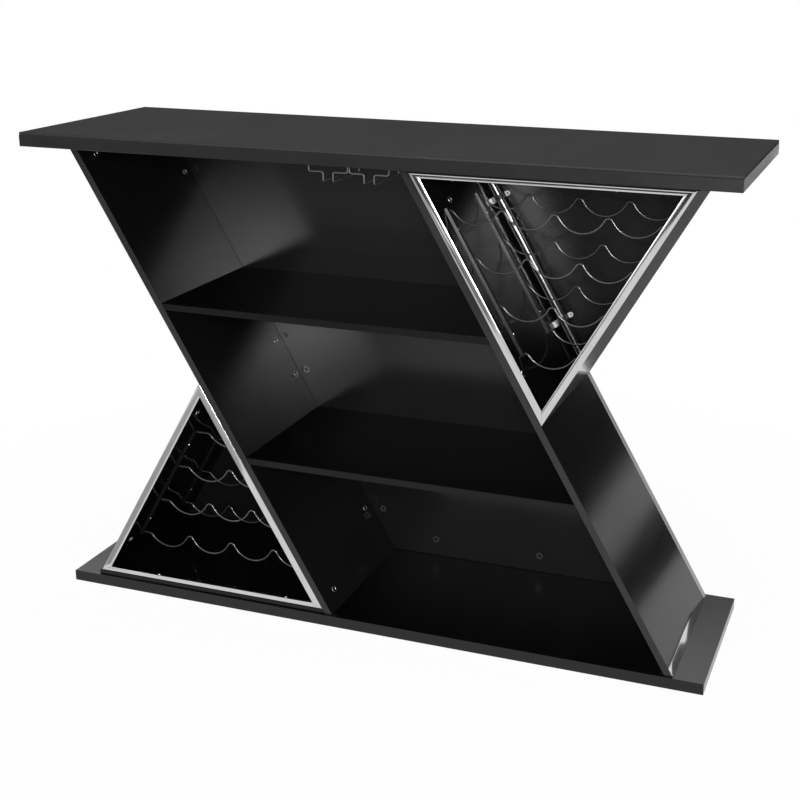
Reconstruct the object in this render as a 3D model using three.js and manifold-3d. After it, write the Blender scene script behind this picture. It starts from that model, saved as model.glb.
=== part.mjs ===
// Bar counter: two leaning side panels between a base and a counter top, shelves in the
// slanted centre and a bottle bay in the triangle on each side.
// Millimetres, +Z up, the server's side at -Y. The origin is at the bottom centre.
import * as THREE from "three";
import { mergeVertices } from "three/addons/utils/BufferGeometryUtils.js";
import Module from "manifold-3d";

// Overall sizes
const OVERALL_HEIGHT = 1067;
const BASE_WIDTH = 1494;
const BASE_THICKNESS = 25;
const TOP_END_OVERHANG = 19;
const TOP_SIDE_OVERHANG = 46;
const TOP_BOARD_THICKNESS = 25;
const TOP_PLATE_THICKNESS = 5;
const TOP_PLATE_INSET = 0.6;

// Leaning panels and shelves
const LEAN_DEGREES = 30;
const FOOT_MARGIN = 65;
const FRONT_SETBACK = 6;
const BACK_SETBACK = 25;
const PANEL_DEPTH = 371;
const PANEL_THICKNESS = 15;
const BACK_THICKNESS = 20;
const SHELF_THICKNESS = 15;
const LOWER_BAY_HEIGHT = 332;
const UPPER_BAY_HEIGHT = 332;
const BAY_BOARD_THICKNESS = 10;
const EDGE_EASE = 0.8;

// Chromed frame at the front of each triangle
const FRAME_WIDTH = 16;
const FRAME_RAIL_HEIGHT = 11;
const FRAME_DEPTH = 12;
const FRAME_EASE = 1;
const FRAME_EASE_STEPS = 2;

// Bottle racks: wire waves between two flat strips
const WIRE_DIAMETER = 4;
const WAVE_PITCH = 110;
const WAVE_HEIGHT = 34;
const WAVE_END_RISE = 27;
const CREST_RADIUS = 9;
const WAVE_POINTS = 14;
const WIRE_LEAD = 1.5;
const WAVE_RUN_OUT = 9;
const WIRE_STEP = 8.6;
const STRIP_THICKNESS = 3;
const STRIP_WIDTH = 12;
const STRIP_END = 5;
const RACK_ROWS = 4;
const FRONT_RACK_INSET = 91;
const BACK_RACK_INSET = 280;
const UPPER_FIRST_TROUGH = 126;
const UPPER_ROW_STEP = 95.3;
const LOWER_FIRST_TROUGH = 53;
const LOWER_ROW_STEP = 91.5;

// Stemware hangers under the counter top
const STEM_WIRE_DIAMETER = 3.2;
const STEM_CHANNELS = 2;
const STEM_PITCH = 91.6;
const STEM_SLOT = 22.3;
const STEM_HOOK_REACH = 32.5;
const STEM_HOOK_DROP = 30;
const STEM_RAIL_DROP = 50;
const STEM_RAIL_LENGTH = 132;
const STEM_FRONT_INSET = 54;
const STEM_END_MARGIN = 38;
const STEM_BEND = 5;
const STEM_STEPS = 58;

// Light tube in the rear corner of the upper bay, with its two corner clips
const TUBE_DIAMETER = 15;
const TUBE_STANDOFF = 14.4;
const TUBE_END_MARGIN = 22;
const CLIP_WALL = 2;
const CLIP_WIDTH = 11;
const CLIP_EAR_REACH = 16;
const CLIP_HOLE_DIAMETER = 4.4;
const CLIP_BLOCK_REACH = 22;
const CLIP_BLOCK_SIZE = 13;
const CLIP_BLOCK_HEIGHT = 7;
const UPPER_CLIP_DISTANCE = 130;
const CLIP_SPACING = 304;

// Chromed strip along the foot of the outer panel
const FOOT_STRIP_HEIGHT = 20;
const FOOT_STRIP_TIP = 3;
const FOOT_STRIP_TAPER = 120;
const FOOT_STRIP_THICKNESS = 2;

const FIT_GAP = 0.3;
const WIRE_SIDES = 6;
const ROUND_SIDES = 20;

// Levels and planes that the pieces share
const lean = THREE.MathUtils.degToRad(LEAN_DEGREES);
const cosLean = Math.cos(lean);
const sinLean = Math.sin(lean);
const tanLean = Math.tan(lean);
const baseTop = BASE_THICKNESS;
const plateBottom = OVERALL_HEIGHT - TOP_PLATE_THICKNESS;
const boardTop = plateBottom - FIT_GAP;
const underTop = boardTop - TOP_BOARD_THICKNESS;
const footReach = BASE_WIDTH / 2 - FOOT_MARGIN;
const baseDepth = FRONT_SETBACK + PANEL_DEPTH + BACK_SETBACK;
const front = -baseDepth / 2 + FRONT_SETBACK;
const panelBack = front + PANEL_DEPTH;
const backFace = panelBack + FIT_GAP;
const backEnd = backFace + BACK_THICKNESS;
const topWidth = BASE_WIDTH + 2 * TOP_END_OVERHANG;
const topDepth = baseDepth + 2 * TOP_SIDE_OVERHANG;
const standing = baseTop + FIT_GAP;
const hanging = underTop - FIT_GAP;
const bayBoardFace = hanging - BAY_BOARD_THICKNESS;
const frameLevel = bayBoardFace - FIT_GAP;

// A straight line in the front view: nx * x + nz * z = d.
const line = (nx, nz, d) => ({ nx, nz, d });
const level = (z) => line(0, 1, z);
const shift = (l, by) => line(l.nx, l.nz, l.d + by);
const opposite = (l) => line(l.nx, l.nz, l.nz * (baseTop + underTop) - l.d);

function meet(a, b) {
  const det = a.nx * b.nz - b.nx * a.nz;
  const x = (a.d * b.nz - b.d * a.nz) / det;
  const z = (a.nx * b.d - b.nx * a.d) / det;
  return new THREE.Vector2(x, z);
}

// Faces of the right side panel and of the upper wing, which closes the upper triangle.
const sideOuter = line(cosLean, sinLean, footReach * cosLean + baseTop * sinLean);
const sideInner = shift(sideOuter, -PANEL_THICKNESS);
const wingOuter = line(cosLean, -sinLean, footReach * cosLean - underTop * sinLean);
const wingInner = shift(wingOuter, -PANEL_THICKNESS);
const besideSide = shift(sideOuter, FIT_GAP);

// Materials
const lacquer = new THREE.MeshStandardMaterial({ color: 0x17171a, roughness: 0.28 });
const topFinish = new THREE.MeshStandardMaterial({ color: 0x2a2a2c, roughness: 0.35 });
const chrome = new THREE.MeshStandardMaterial({ color: 0xdedfe2, roughness: 0.08, metalness: 1 });
const blackWire = new THREE.MeshStandardMaterial({ color: 0x1b1b1d, roughness: 0.4, metalness: 0.3 });
const clearTube = new THREE.MeshStandardMaterial({ color: 0xd8dde0, roughness: 0.12 });

const wasm = await Module();
wasm.setup();

function solidFrom(geometry) {
  const bare = geometry.clone();
  bare.deleteAttribute("normal");
  bare.deleteAttribute("uv");
  const merged = mergeVertices(bare, 1e-3);
  return new wasm.Manifold(
    new wasm.Mesh({
      numProp: 3,
      vertProperties: new Float32Array(merged.attributes.position.array),
      triVerts: new Uint32Array(merged.index.array),
    }),
  );
}

function geometryFrom(solid) {
  const data = solid.getMesh();
  const geometry = new THREE.BufferGeometry();
  geometry.setAttribute("position", new THREE.BufferAttribute(data.vertProperties, 3));
  geometry.setIndex(new THREE.BufferAttribute(data.triVerts, 1));
  geometry.computeVertexNormals();
  return geometry;
}

function piece(name, geometry, material) {
  const mesh = new THREE.Mesh(geometry, material);
  mesh.name = name;
  return mesh;
}

// A board whose outline is drawn in the front view, from its front plane to its back plane,
// with eased edges.
function standingBoard(points, frontY, backY, ease = EDGE_EASE, easeSteps = 1) {
  const geometry = new THREE.ExtrudeGeometry(new THREE.Shape(points), {
    depth: backY - frontY - 2 * ease,
    bevelThickness: ease,
    bevelSize: ease,
    bevelOffset: -ease,
    bevelSegments: easeSteps,
  });
  geometry.rotateX(Math.PI / 2);
  geometry.translate(0, backY - ease, 0);
  return geometry;
}

// A flat rectangular board with eased edges, resting at z = 0 about its own centre.
function flatBoard(width, depth, thickness) {
  const outline = new THREE.Shape([
    new THREE.Vector2(-width / 2, -depth / 2),
    new THREE.Vector2(width / 2, -depth / 2),
    new THREE.Vector2(width / 2, depth / 2),
    new THREE.Vector2(-width / 2, depth / 2),
  ]);
  const geometry = new THREE.ExtrudeGeometry(outline, {
    depth: thickness - 2 * EDGE_EASE,
    bevelThickness: EDGE_EASE,
    bevelSize: EDGE_EASE,
    bevelOffset: -EDGE_EASE,
    bevelSegments: 1,
  });
  geometry.translate(0, 0, EDGE_EASE);
  return geometry;
}

// The round section of a wire.
function wireSection(diameter) {
  const points = [];
  for (let i = 0; i < WIRE_SIDES; i += 1) {
    const angle = (2 * Math.PI * i) / WIRE_SIDES;
    points.push(new THREE.Vector2(Math.cos(angle), Math.sin(angle)).multiplyScalar(diameter / 2));
  }
  return new THREE.Shape(points);
}

// Counter top and base
const counter = new THREE.Group();
const base = piece("base_board", flatBoard(BASE_WIDTH, baseDepth, BASE_THICKNESS), lacquer);
const topBoard = piece("top_board", flatBoard(topWidth, topDepth, TOP_BOARD_THICKNESS), lacquer);
topBoard.position.z = underTop;
const topPlate = piece(
  "top_plate",
  flatBoard(topWidth - 2 * TOP_PLATE_INSET, topDepth - 2 * TOP_PLATE_INSET, TOP_PLATE_THICKNESS),
  topFinish,
);
topPlate.position.z = plateBottom;
counter.add(base, topBoard, topPlate);

// Side panels: the left one is the right one turned half a turn about the counter's middle.
const sideOutline = [
  meet(sideOuter, level(standing)),
  meet(sideOuter, level(hanging)),
  meet(sideInner, level(hanging)),
  meet(sideInner, level(standing)),
];

function halfTurn() {
  const group = new THREE.Group();
  group.rotation.y = Math.PI;
  group.position.z = baseTop + underTop;
  return group;
}

const rightSide = piece("right_side_panel", standingBoard(sideOutline, front, panelBack), lacquer);
const leftSide = halfTurn();
leftSide.add(piece("left_side_panel", standingBoard(sideOutline, front, panelBack), lacquer));

// Shelves with slanted ends between the side panels
const shelfEnds = [shift(opposite(sideInner), FIT_GAP), shift(sideInner, -FIT_GAP)];

function shelf(name, bottom) {
  const top = bottom + SHELF_THICKNESS;
  const outline = [
    meet(shelfEnds[0], level(bottom)),
    meet(shelfEnds[1], level(bottom)),
    meet(shelfEnds[1], level(top)),
    meet(shelfEnds[0], level(top)),
  ];
  return piece(name, standingBoard(outline, front, panelBack), lacquer);
}

const lowerShelf = shelf("lower_shelf", baseTop + LOWER_BAY_HEIGHT);
const upperShelf = shelf("upper_shelf", underTop - UPPER_BAY_HEIGHT - SHELF_THICKNESS);

// Back panel of the centre, over the rear edges of both side panels
const centreBackOutline = [
  meet(sideOuter, level(standing)),
  meet(sideOuter, level(hanging)),
  meet(opposite(sideOuter), level(hanging)),
  meet(opposite(sideOuter), level(standing)),
];
const centreBack = piece(
  "centre_back_panel",
  standingBoard(centreBackOutline, backFace, backEnd),
  lacquer,
);

// One triangular bay as it stands under the counter top: wing, bay board, back and chrome frame
function bay(prefix) {
  const group = new THREE.Group();
  const wingOutline = [
    meet(besideSide, wingOuter),
    meet(wingOuter, level(frameLevel)),
    meet(wingInner, level(frameLevel)),
    meet(besideSide, wingInner),
  ];
  const wingFront = front + FRAME_DEPTH + FIT_GAP;
  const wing = piece(
    prefix + "_wing_panel",
    standingBoard(wingOutline, wingFront, panelBack),
    lacquer,
  );
  const boardOutline = [
    meet(besideSide, level(bayBoardFace)),
    new THREE.Vector2(footReach, bayBoardFace),
    new THREE.Vector2(footReach, hanging),
    meet(besideSide, level(hanging)),
  ];
  const board = piece(prefix + "_bay_board", standingBoard(boardOutline, front, panelBack), lacquer);
  const backOutline = [
    meet(besideSide, wingOuter),
    meet(wingOuter, level(hanging)),
    meet(besideSide, level(hanging)),
  ];
  const back = piece(prefix + "_back_panel", standingBoard(backOutline, backFace, backEnd), lacquer);
  group.add(wing, board, back);

  const outer = [besideSide, wingOuter, level(frameLevel)];
  const inner = [
    shift(sideOuter, FRAME_WIDTH),
    shift(wingOuter, -FRAME_WIDTH),
    level(frameLevel - FRAME_RAIL_HEIGHT),
  ];
  const names = ["_frame_side_bar", "_frame_wing_bar", "_frame_rail"];
  names.forEach((name, i) => {
    const before = (i + 2) % 3;
    const after = (i + 1) % 3;
    const corners = [
      meet(outer[i], outer[before]),
      meet(outer[i], outer[after]),
      meet(inner[i], inner[after]),
      meet(inner[i], inner[before]),
    ];
    const along = corners[1].clone().sub(corners[0]).normalize().multiplyScalar(FIT_GAP);
    corners[0].add(along);
    corners[3].add(along);
    corners[1].sub(along);
    corners[2].sub(along);
    const geometry = standingBoard(corners, front, front + FRAME_DEPTH, FRAME_EASE, FRAME_EASE_STEPS);
    group.add(piece(prefix + name, geometry, chrome));
  });
  return group;
}

const upperBay = bay("upper");
const lowerBay = halfTurn();
lowerBay.add(bay("lower"));

// Bottle racks
const wireRadius = WIRE_DIAMETER / 2;
const stripFace = FIT_GAP + STRIP_THICKNESS;

// Height of the wire over its trough at a distance from it: a wide arc under the bottle, then a
// tight arc over the crest, which meet where both have the same slope.
function waveRise(distance, halfPitch, crest) {
  const slope = 2 * Math.atan(crest / halfPitch);
  const bottleRadius = halfPitch / Math.sin(slope) - CREST_RADIUS;
  if (distance < bottleRadius * Math.sin(slope)) {
    return bottleRadius - Math.sqrt(bottleRadius ** 2 - distance ** 2);
  }
  return crest - CREST_RADIUS + Math.sqrt(CREST_RADIUS ** 2 - (halfPitch - distance) ** 2);
}

// One wire from strip to strip: whole waves, with what is left of the width as a straight run.
function rackWire(leftEnd, rightEnd, trough) {
  const width = rightEnd - leftEnd;
  const waves = Math.max(1, Math.round(width / WAVE_PITCH));
  const pitch = Math.min(WAVE_PITCH, (width - 2 * WIRE_LEAD) / waves);
  const spare = width - waves * pitch;
  const firstCrest = rightEnd - Math.min(WAVE_RUN_OUT, spare / 2) - waves * pitch;
  const points = [new THREE.Vector3(leftEnd, 0, trough + WAVE_END_RISE)];
  for (let wave = 0; wave < waves; wave += 1) {
    const left = wave === 0 ? WAVE_END_RISE : WAVE_HEIGHT;
    const right = wave === waves - 1 ? WAVE_END_RISE : WAVE_HEIGHT;
    for (let i = 0; i <= WAVE_POINTS; i += 1) {
      const t = i / WAVE_POINTS;
      const x = firstCrest + (wave + t) * pitch;
      const distance = Math.abs(t - 0.5) * pitch;
      const z = trough + waveRise(distance, pitch / 2, t < 0.5 ? left : right);
      if (x > points.at(-1).x + WIRE_LEAD / 2) {
        points.push(new THREE.Vector3(x, 0, z));
      }
    }
  }
  if (rightEnd > points.at(-1).x + WIRE_LEAD / 2) {
    points.push(new THREE.Vector3(rightEnd, 0, trough + WAVE_END_RISE));
  }
  const path = new THREE.CatmullRomCurve3(points, false, "centripetal");
  return new THREE.ExtrudeGeometry(wireSection(WIRE_DIAMETER), {
    steps: Math.round(path.getLength() / WIRE_STEP),
    extrudePath: path,
  });
}

// A rack between a face on its left and a face on its right: each face's line looks away from
// the left wall and towards the right one.
function rack(prefix, leftFace, rightFace, firstTrough, rowStep, inset) {
  const group = new THREE.Group();
  group.position.y = front + inset;
  const leftWall = shift(leftFace, stripFace + FIT_GAP);
  const rightWall = shift(rightFace, -stripFace - FIT_GAP);
  const ends = [];
  for (let row = 0; row < RACK_ROWS; row += 1) {
    const trough = firstTrough + row * rowStep;
    const height = trough + WAVE_END_RISE;
    const leftEnd = meet(leftWall, level(height)).x + wireRadius * tanLean;
    const rightEnd = meet(rightWall, level(height)).x - wireRadius * tanLean;
    const wire = rackWire(leftEnd, rightEnd, trough);
    group.add(piece(prefix + "_rack_wire_" + (row + 1), wire, blackWire));
    ends.push(height);
  }
  const low = Math.min(...ends) - STRIP_END;
  const high = Math.max(...ends) + STRIP_END;
  const sides = [
    ["_rack_left_strip", shift(leftFace, FIT_GAP), shift(leftFace, stripFace)],
    ["_rack_right_strip", shift(rightFace, -FIT_GAP), shift(rightFace, -stripFace)],
  ];
  sides.forEach(([name, wall, face]) => {
    const outline = [
      meet(wall, level(low)),
      meet(face, level(low)),
      meet(face, level(high)),
      meet(wall, level(high)),
    ];
    const strip = standingBoard(outline, -STRIP_WIDTH / 2, STRIP_WIDTH / 2, EDGE_EASE / 2);
    group.add(piece(prefix + name, strip, blackWire));
  });
  return group;
}

const upperFirst = underTop - UPPER_FIRST_TROUGH;
const lowerFirst = baseTop + LOWER_FIRST_TROUGH;
const lowerLeftFace = opposite(wingInner);
const lowerRightFace = opposite(sideOuter);
const racks = new THREE.Group();
racks.add(
  rack("upper_front", sideOuter, wingInner, upperFirst, -UPPER_ROW_STEP, FRONT_RACK_INSET),
  rack("upper_rear", sideOuter, wingInner, upperFirst, -UPPER_ROW_STEP, BACK_RACK_INSET),
  rack("lower_front", lowerLeftFace, lowerRightFace, lowerFirst, LOWER_ROW_STEP, FRONT_RACK_INSET),
  rack("lower_rear", lowerLeftFace, lowerRightFace, lowerFirst, LOWER_ROW_STEP, BACK_RACK_INSET),
);

// Stemware hangers: each wire hooks down from the counter top at both ends of a low rail.
function hangerWire(side) {
  const stub = -side * STEM_HOOK_REACH;
  const frontY = 0;
  const rearY = STEM_RAIL_LENGTH;
  const corners = [
    [stub, frontY, 0],
    [stub, frontY, -STEM_HOOK_DROP],
    [0, frontY, -STEM_HOOK_DROP],
    [0, frontY, -STEM_RAIL_DROP],
    [0, rearY, -STEM_RAIL_DROP],
    [0, rearY, -STEM_HOOK_DROP],
    [stub, rearY, -STEM_HOOK_DROP],
    [stub, rearY, 0],
  ].map((p) => new THREE.Vector3(...p));
  const path = new THREE.CurvePath();
  let from = corners[0];
  for (let i = 1; i < corners.length - 1; i += 1) {
    const into = corners[i - 1].clone().sub(corners[i]).setLength(STEM_BEND).add(corners[i]);
    const out = corners[i + 1].clone().sub(corners[i]).setLength(STEM_BEND).add(corners[i]);
    path.add(new THREE.LineCurve3(from, into));
    path.add(new THREE.QuadraticBezierCurve3(into, corners[i], out));
    from = out;
  }
  path.add(new THREE.LineCurve3(from, corners.at(-1)));
  return new THREE.ExtrudeGeometry(wireSection(STEM_WIRE_DIAMETER), {
    steps: STEM_STEPS,
    extrudePath: path,
  });
}

const hangers = new THREE.Group();
const lastStub = meet(sideInner, level(hanging)).x - STEM_END_MARGIN;
hangers.position.set(
  lastStub - STEM_HOOK_REACH - STEM_SLOT / 2,
  front + STEM_FRONT_INSET,
  hanging,
);
for (let channel = 0; channel < STEM_CHANNELS; channel += 1) {
  const middle = -channel * STEM_PITCH;
  const number = STEM_CHANNELS - channel;
  const left = piece("stem_hanger_" + number + "_left_wire", hangerWire(1), blackWire);
  left.position.x = middle - STEM_SLOT / 2;
  const right = piece("stem_hanger_" + number + "_right_wire", hangerWire(-1), blackWire);
  right.position.x = middle + STEM_SLOT / 2;
  hangers.add(left, right);
}

// Rear corner of the upper bay: local x leaves the side panel, local y runs to the back and
// local z climbs the panel from the bay board.
const corner = new THREE.Group();
const cornerTop = meet(sideOuter, level(bayBoardFace));
corner.position.set(cornerTop.x, backFace, cornerTop.y);
corner.rotation.y = -lean;
const bayDepth = cornerTop.y - meet(sideOuter, wingInner).y;
const cornerLength = bayDepth / cosLean;
const tubeLength = cornerLength - 2 * TUBE_END_MARGIN - TUBE_STANDOFF * tanLean;
const tubeRadius = TUBE_DIAMETER / 2;
const tubeGeometry = new THREE.CylinderGeometry(tubeRadius, tubeRadius, tubeLength, ROUND_SIDES);
tubeGeometry.rotateX(Math.PI / 2);
const tube = piece("light_tube", tubeGeometry, clearTube);
tube.position.set(TUBE_STANDOFF, -TUBE_STANDOFF, -TUBE_END_MARGIN - tubeLength / 2);
corner.add(tube);

function blockBetween(x0, x1, y0, y1, z0, z1) {
  const box = new THREE.BoxGeometry(x1 - x0, y1 - y0, z1 - z0);
  box.translate((x0 + x1) / 2, (y0 + y1) / 2, (z0 + z1) / 2);
  return solidFrom(box);
}

function rodAlong(axis, radius, length) {
  const rod = new THREE.CylinderGeometry(radius, radius, length, ROUND_SIDES);
  if (axis === "z") {
    rod.rotateX(Math.PI / 2);
  }
  return rod;
}

// A corner clip: a ring round the tube, an eared foot on the back panel and a block on the side.
function cornerClip() {
  const half = CLIP_WIDTH / 2;
  const ringRadius = tubeRadius + FIT_GAP + CLIP_WALL;
  const ring = rodAlong("z", ringRadius, CLIP_WIDTH);
  ring.translate(TUBE_STANDOFF, -TUBE_STANDOFF, 0);
  const earX = TUBE_STANDOFF + CLIP_EAR_REACH;
  const footLow = -FIT_GAP - CLIP_WALL;
  const ear = rodAlong("y", half, CLIP_WALL);
  ear.translate(earX, -FIT_GAP - CLIP_WALL / 2, 0);
  const blockNear = -TUBE_STANDOFF - CLIP_BLOCK_REACH;
  const wallEnd = FIT_GAP + CLIP_WALL;
  const bore = rodAlong("z", tubeRadius + FIT_GAP, CLIP_WIDTH * 2);
  bore.translate(TUBE_STANDOFF, -TUBE_STANDOFF, 0);
  const hole = rodAlong("y", CLIP_HOLE_DIAMETER / 2, CLIP_WALL * 4);
  hole.translate(earX, -FIT_GAP - CLIP_WALL / 2, 0);
  const solid = solidFrom(ring)
    .add(blockBetween(TUBE_STANDOFF, earX, footLow, -FIT_GAP, -half, half))
    .add(blockBetween(TUBE_STANDOFF, TUBE_STANDOFF + ringRadius / 2, -TUBE_STANDOFF, footLow, -half, half))
    .add(solidFrom(ear))
    .add(blockBetween(FIT_GAP, wallEnd, blockNear, -TUBE_STANDOFF, -half, half))
    .add(blockBetween(wallEnd, TUBE_STANDOFF, -TUBE_STANDOFF - ringRadius / 2, -TUBE_STANDOFF, -half, half))
    .add(
      blockBetween(
        FIT_GAP,
        FIT_GAP + CLIP_BLOCK_HEIGHT,
        blockNear - CLIP_BLOCK_SIZE,
        blockNear,
        -CLIP_BLOCK_SIZE / 2,
        CLIP_BLOCK_SIZE / 2,
      ),
    )
    .subtract(solidFrom(bore))
    .subtract(solidFrom(hole));
  return geometryFrom(solid);
}

const clipGeometry = cornerClip();
const upperClip = piece("light_clip_upper", clipGeometry, chrome);
upperClip.position.z = -UPPER_CLIP_DISTANCE;
const lowerClip = piece("light_clip_lower", clipGeometry, chrome);
lowerClip.position.z = -UPPER_CLIP_DISTANCE - CLIP_SPACING;
corner.add(upperClip, lowerClip);

// Chromed strip on the outer face of the right side panel, tapering away to the back
const foot = new THREE.Group();
foot.position.set(footReach, 0, baseTop);
foot.rotation.y = -lean;
const stripLow = FIT_GAP / cosLean;
const stripOutline = [
  new THREE.Vector2(front + EDGE_EASE, stripLow),
  new THREE.Vector2(panelBack, stripLow),
  new THREE.Vector2(panelBack, FOOT_STRIP_TIP),
  new THREE.Vector2(panelBack - FOOT_STRIP_TAPER, FOOT_STRIP_HEIGHT),
  new THREE.Vector2(front + EDGE_EASE, FOOT_STRIP_HEIGHT),
];
const footGeometry = new THREE.ExtrudeGeometry(new THREE.Shape(stripOutline), {
  depth: FOOT_STRIP_THICKNESS,
  bevelEnabled: false,
});
footGeometry.applyMatrix4(
  new THREE.Matrix4().makeBasis(
    new THREE.Vector3(0, 1, 0),
    new THREE.Vector3(0, 0, 1),
    new THREE.Vector3(1, 0, 0),
  ),
);
footGeometry.translate(FIT_GAP, 0, 0);
foot.add(piece("foot_strip", footGeometry, chrome));

const barCounter = new THREE.Group();
barCounter.add(counter, rightSide, leftSide, lowerShelf, upperShelf, centreBack);
barCounter.add(upperBay, lowerBay, racks, hangers, corner, foot);

export default barCounter;
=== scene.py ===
"""Looks of a bar counter with leaning panels, open shelves and framed bottle bays.

Lengths are written in millimetres in the counter's own frame, as in the CAD, and turned into
metres where a mesh is made. +X runs along the counter, +Y to its closed back.
"""
import math

import bmesh
import bpy
import numpy as np
from mathutils import Matrix


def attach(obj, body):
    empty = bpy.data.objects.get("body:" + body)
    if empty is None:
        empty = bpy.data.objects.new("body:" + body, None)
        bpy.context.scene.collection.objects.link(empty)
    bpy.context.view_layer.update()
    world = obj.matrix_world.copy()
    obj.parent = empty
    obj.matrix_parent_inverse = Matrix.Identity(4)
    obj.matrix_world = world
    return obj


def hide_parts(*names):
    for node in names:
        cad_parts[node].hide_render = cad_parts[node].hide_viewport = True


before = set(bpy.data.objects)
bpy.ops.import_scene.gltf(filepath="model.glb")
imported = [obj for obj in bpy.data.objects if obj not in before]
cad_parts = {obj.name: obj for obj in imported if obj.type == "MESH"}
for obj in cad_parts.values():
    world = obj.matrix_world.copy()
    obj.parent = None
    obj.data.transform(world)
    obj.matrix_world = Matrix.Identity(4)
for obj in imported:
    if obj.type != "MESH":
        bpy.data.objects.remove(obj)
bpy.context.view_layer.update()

MM = 0.001
LEAN = math.radians(30.0)
COS_LEAN = math.cos(LEAN)
SIN_LEAN = math.sin(LEAN)
TAN_LEAN = math.tan(LEAN)

# Levels and planes of the boards. SIDE_PLANE and WING_PLANE are the distances of the right side
# panel's and the upper wing's outer faces from the middle line, square to each face.
BASE_TOP = 25.0
UNDER_TOP = 1036.7
FOOT_REACH = 682.0
FRONT = -195.0
BACK_FACE = 176.3
PANEL = 15.0
BAY_BOARD = 10.0
FIT_GAP = 0.3
TURN_LEVEL = BASE_TOP + UNDER_TOP
SIDE_PLANE = FOOT_REACH * COS_LEAN + BASE_TOP * SIN_LEAN
WING_PLANE = FOOT_REACH * COS_LEAN - UNDER_TOP * SIN_LEAN

# Directions square to the leaning faces, down along the right side panel, and to front and back.
RISING_RIGHT = np.array([COS_LEAN, 0.0, SIN_LEAN])
FALLING_RIGHT = np.array([COS_LEAN, 0.0, -SIN_LEAN])
DOWN_PANEL = np.array([SIN_LEAN, 0.0, -COS_LEAN])
TO_BACK = np.array([0.0, 1.0, 0.0])
TO_SERVER = -TO_BACK


def side_face_x(z, offset=0.0):
    """x of the right side panel's outer face at height z, moved out of the panel by offset."""
    return FOOT_REACH - (z - BASE_TOP) * TAN_LEAN + offset / COS_LEAN


def wing_face_x(z, offset=0.0):
    """x of the upper wing's outer face at height z, moved into the bay by offset."""
    return FOOT_REACH - (UNDER_TOP - z) * TAN_LEAN - offset / COS_LEAN


def half_turn(points):
    """The points turned by half a turn about the counter's middle line, front to back."""
    turned = np.array(points, dtype=float)
    turned[..., 0] *= -1.0
    turned[..., 2] = TURN_LEVEL - turned[..., 2]
    return turned


# Node groups and materials

def new_group(name, inputs, outputs):
    """An empty shader node group with named value inputs and outputs."""
    group = bpy.data.node_groups.new(name, "ShaderNodeTree")
    group.interface.new_socket("Vector", in_out="INPUT", socket_type="NodeSocketVector")
    for label, value in inputs:
        socket = group.interface.new_socket(label, in_out="INPUT", socket_type="NodeSocketFloat")
        socket.default_value = value
    for label in outputs:
        group.interface.new_socket(label, in_out="OUTPUT", socket_type="NodeSocketFloat")
    start = group.nodes.new("NodeGroupInput")
    end = group.nodes.new("NodeGroupOutput")
    return group, start, end


def math_node(nodes, links, operation, first, second):
    """One Math node whose two inputs are sockets or plain numbers."""
    node = nodes.new("ShaderNodeMath")
    node.operation = operation
    for index, value in enumerate((first, second)):
        if isinstance(value, (int, float)):
            node.inputs[index].default_value = value
        else:
            links.new(value, node.inputs[index])
    return node.outputs[0]


def noise_node(nodes, links, vector, scale, detail, roughness=0.5):
    """The value of a noise texture at a scale that is a socket or a number."""
    node = nodes.new("ShaderNodeTexNoise")
    node.inputs["Detail"].default_value = detail
    node.inputs["Roughness"].default_value = roughness
    links.new(vector, node.inputs["Vector"])
    if isinstance(scale, (int, float)):
        node.inputs["Scale"].default_value = scale
    else:
        links.new(scale, node.inputs["Scale"])
    return node.outputs["Fac"]


def make_board_grain():
    """Pressed grain of laminate: fine pebbles over a slow cloud, as a height and a shade."""
    group, start, end = new_group(
        "board_grain",
        [("Pebbles per metre", 420.0), ("Cloud per metre", 5.0)],
        ["Height", "Shade"],
    )
    nodes, links = group.nodes, group.links
    vector = start.outputs["Vector"]
    pebble = nodes.new("ShaderNodeTexVoronoi")
    pebble.feature = "SMOOTH_F1"
    links.new(vector, pebble.inputs["Vector"])
    links.new(start.outputs["Pebbles per metre"], pebble.inputs["Scale"])
    fine = noise_node(nodes, links, vector, start.outputs["Pebbles per metre"], 2.0, 0.6)
    cloud = noise_node(nodes, links, vector, start.outputs["Cloud per metre"], 3.0)
    height = math_node(nodes, links, "ADD", pebble.outputs["Distance"], fine)
    links.new(height, end.inputs["Height"])
    softened = math_node(nodes, links, "MULTIPLY", fine, 0.45)
    slow = math_node(nodes, links, "MULTIPLY", cloud, 0.55)
    shade = math_node(nodes, links, "ADD", softened, slow)
    links.new(shade, end.inputs["Shade"])
    return group


def make_handling_marks():
    """Faint wipe marks and dust: stretched noise for wiping, speckle for dust, both 0 to 1."""
    group, start, end = new_group(
        "handling_marks",
        [("Marks per metre", 9.0), ("Specks per metre", 260.0)],
        ["Wipe", "Dust"],
    )
    nodes, links = group.nodes, group.links
    stretch = nodes.new("ShaderNodeMapping")
    stretch.inputs["Rotation"].default_value = (0.4, 0.3, 0.7)
    stretch.inputs["Scale"].default_value = (1.0, 0.3, 1.6)
    links.new(start.outputs["Vector"], stretch.inputs["Vector"])
    marks_scale = start.outputs["Marks per metre"]
    specks_scale = start.outputs["Specks per metre"]
    wipe = noise_node(nodes, links, stretch.outputs["Vector"], marks_scale, 5.0, 0.62)
    links.new(wipe, end.inputs["Wipe"])
    speck = noise_node(nodes, links, start.outputs["Vector"], specks_scale, 2.0)
    cut = nodes.new("ShaderNodeMapRange")
    cut.inputs["From Min"].default_value = 0.64
    cut.inputs["From Max"].default_value = 0.78
    links.new(speck, cut.inputs["Value"])
    links.new(cut.outputs["Result"], end.inputs["Dust"])
    return group


board_grain = make_board_grain()
handling_marks = make_handling_marks()


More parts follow.
